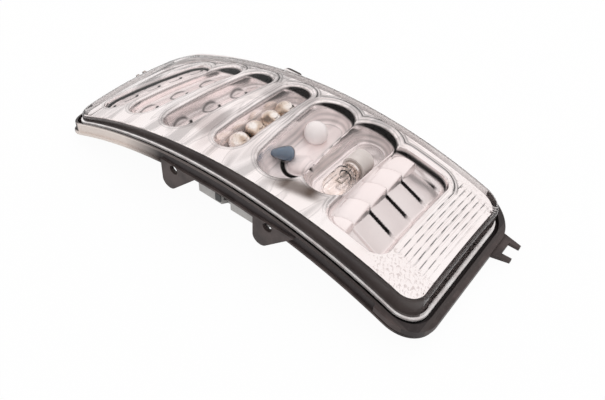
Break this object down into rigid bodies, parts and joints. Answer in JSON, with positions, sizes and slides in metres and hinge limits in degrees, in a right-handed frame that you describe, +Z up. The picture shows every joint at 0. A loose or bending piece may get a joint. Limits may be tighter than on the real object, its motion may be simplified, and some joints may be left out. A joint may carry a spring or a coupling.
{
  "type": "vehicle indicator lamp",
  "caption": "Bowed oblong car indicator lamp lying lens up: clear crowned cover over bright wells with bulbs and a stepped bowl, in a dark rim with ears, tabs and a fork.",
  "frame": {"origin": "under the middle of the lens outline, on the surface that both ends of the rim rest on", "axes": "+X along the lamp to the end with the fork, +Y across it to the side with two flat tabs, +Z up through the lens"},
  "size_m": [0.319, 0.1268, 0.0548],
  "materials": {
    "housing": "moulded, fine texture",
    "lens": "clear moulded cover",
    "lens_seal": "black sealing bead",
    "bezel": "bright metallised",
    "reflector": "bright metallised",
    "marker_board": "brown board",
    "marker_domes": "amber domes",
    "board_screws": "small steel screws",
    "reflector_screws": "zinc plated",
    "rear_carrier": "pale grey moulding",
    "carrier_gasket": "black gasket",
    "carrier_screws": "zinc plated",
    "contact_strips": "stamped strips",
    "connector_pins": "stamped pins",
    "carrier_clip": "dark clip",
    "indicator_bulb_cap": "plated cap",
    "indicator_bulb_glass": "silvered round bulb",
    "sidelight_bulb_base": "wedge base",
    "sidelight_bulb_glass": "dark blue bulb",
    "running_bulb_holder": "elbow holder",
    "running_bulb_base": "plated base",
    "running_bulb_glass": "clear bulb",
    "running_bulb_wires": "wires and coil",
    "vent_cap": "breather cap"
  },
  "bodies": {
    "root": {"housing": "housing", "lens": "lens", "lens_seal": "lens_seal", "bezel": "bezel", "reflector": "reflector", "marker_board": "marker_board", "marker_domes": "marker_domes", "board_screws": "board_screws", "reflector_screws": "reflector_screws", "rear_carrier": "rear_carrier", "carrier_gasket": "carrier_gasket", "carrier_screws": "carrier_screws", "contact_strips": "contact_strips", "connector_pins": "connector_pins", "carrier_clip": "carrier_clip", "indicator_bulb_cap": "indicator_bulb_cap", "indicator_bulb_glass": "indicator_bulb_glass", "sidelight_bulb_base": "sidelight_bulb_base", "sidelight_bulb_glass": "sidelight_bulb_glass", "running_bulb_holder": "running_bulb_holder", "running_bulb_base": "running_bulb_base", "running_bulb_glass": "running_bulb_glass", "running_bulb_wires": "running_bulb_wires", "vent_cap": "vent_cap"}
  },
  "joints": []
}
